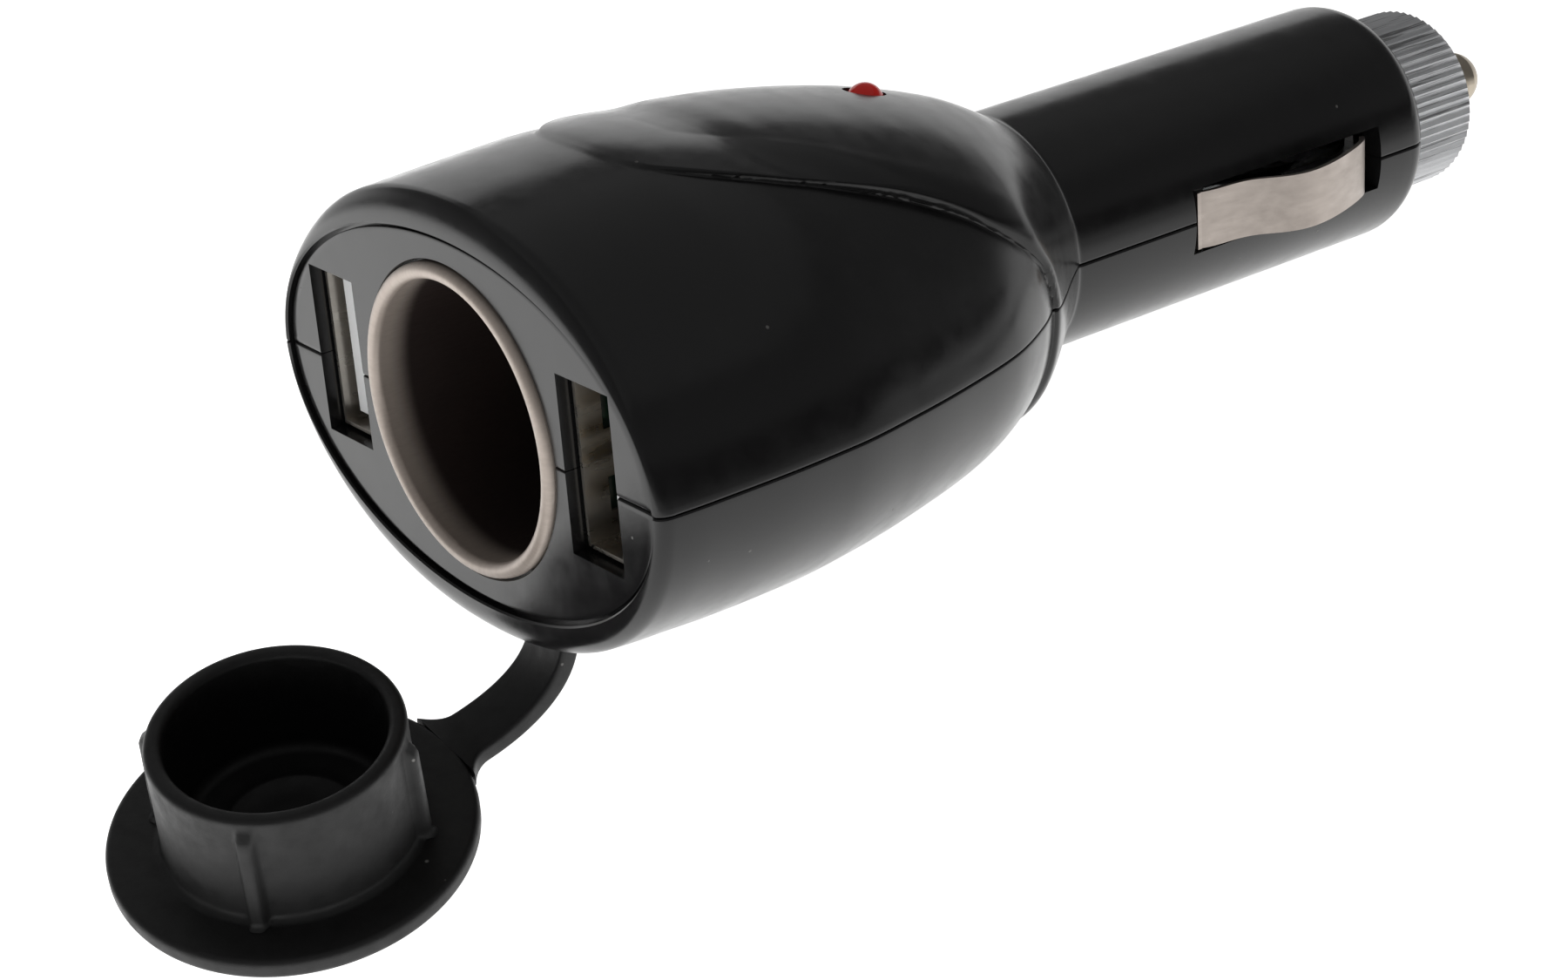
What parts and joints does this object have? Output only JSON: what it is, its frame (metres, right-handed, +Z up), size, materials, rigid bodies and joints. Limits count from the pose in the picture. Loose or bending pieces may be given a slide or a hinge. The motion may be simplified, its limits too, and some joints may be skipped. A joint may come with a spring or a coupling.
{
  "type": "lighter socket splitter",
  "caption": "Black plug-in lighter socket splitter with a round socket, two charging ports, a red indicator light and a tethered rubber dust cap.",
  "frame": {"origin": "on the plug axis where the barrel leaves the housing", "axes": "+Y along the plug to its tip, +X right seen from the socket side, +Z up, towards the indicator light"},
  "size_m": [0.0506, 0.1398, 0.0505],
  "materials": {
    "black_gloss": "glossy moulded",
    "zinc_steel": "zinc plated",
    "satin_nickel": "satin nickel",
    "dark_insulator": "moulded",
    "brass": "bright",
    "port_steel": "bright rolled",
    "white_plastic": "moulded",
    "gold_contact": "gold flash",
    "board_green": "solder mask",
    "copper": "enamelled",
    "chip_black": "moulded",
    "capacitor_can": "drawn",
    "red_lens": "clear tinted",
    "spring_nickel": "rolled strip",
    "cap_nickel": "knurled",
    "brass_nickel": "turned",
    "clear_glass": "clear",
    "red_insulation": "moulded",
    "black_insulation": "moulded",
    "black_rubber": "matte moulded"
  },
  "bodies": {
    "housing": {"upper_housing": "black_gloss", "lower_housing": "black_gloss", "housing_screws": "zinc_steel", "socket_tube": "satin_nickel", "socket_insulator": "dark_insulator", "socket_center_contact": "brass", "socket_nut": "brass", "usb_shell_left": "port_steel", "usb_shell_right": "port_steel", "usb_tongue_left": "white_plastic", "usb_tongue_right": "white_plastic", "usb_contacts_left": "gold_contact", "usb_contacts_right": "gold_contact", "port_board_left": "board_green", "port_board_right": "board_green", "coil": "copper", "regulator_chip": "chip_black", "capacitors": "capacitor_can", "indicator_light": "red_lens", "light_board": "board_green", "spring_seat": "brass", "fuse_spring": "zinc_steel", "plus_wire": "red_insulation", "ground_wires": "black_insulation"},
    "contact_left": {"side_contact_left": "spring_nickel"},
    "contact_right": {"side_contact_right": "spring_nickel"},
    "fuse_cap": {"fuse_cap": "cap_nickel"},
    "tip": {"tip_contact": "brass_nickel", "fuse_glass": "clear_glass", "fuse_end_caps": "satin_nickel", "fuse_wire": "copper"},
    "strap": {"cap_strap": "black_rubber"},
    "cap": {"dust_cap": "black_rubber"}
  },
  "joints": [
    {"name": "cap_swing", "type": "hinge", "parent": "housing", "child": "strap", "pos_m": [0, -0.05338, -0.01647], "axis": [-0.9894, -0.0955, 0.1096], "range_deg": [-30, 98.48], "stiffness_Nm_per_rad": 0.02, "deforming": ["cap_strap"]},
    {"name": "cap_push", "type": "slide", "parent": "strap", "child": "cap", "axis": [0.2169, -0.1369, 0.9665], "range_m": [0, 0.01], "deforming": ["cap_strap"]},
    {"name": "contact_right_flex", "type": "hinge", "parent": "housing", "child": "contact_right", "pos_m": [0.009, 0.0134, 0], "axis": [0, 0, 1], "range_deg": [0, 18.5], "stiffness_Nm_per_rad": 0.25},
    {"name": "contact_left_flex", "type": "hinge", "parent": "housing", "child": "contact_left", "pos_m": [-0.009, 0.0134, 0], "axis": [0, 0, -1], "range_deg": [0, 18.5], "stiffness_Nm_per_rad": 0.25},
    {"name": "fuse_cap_unscrew", "type": "slide", "parent": "housing", "child": "fuse_cap", "axis": [0, 1, 0], "range_m": [0, 0.03]},
    {"name": "tip_press", "type": "slide", "parent": "fuse_cap", "child": "tip", "axis": [0, -1, 0], "range_m": [0, 0.0025], "stiffness_N_per_m": 800, "deforming": ["fuse_spring"]}
  ]
}
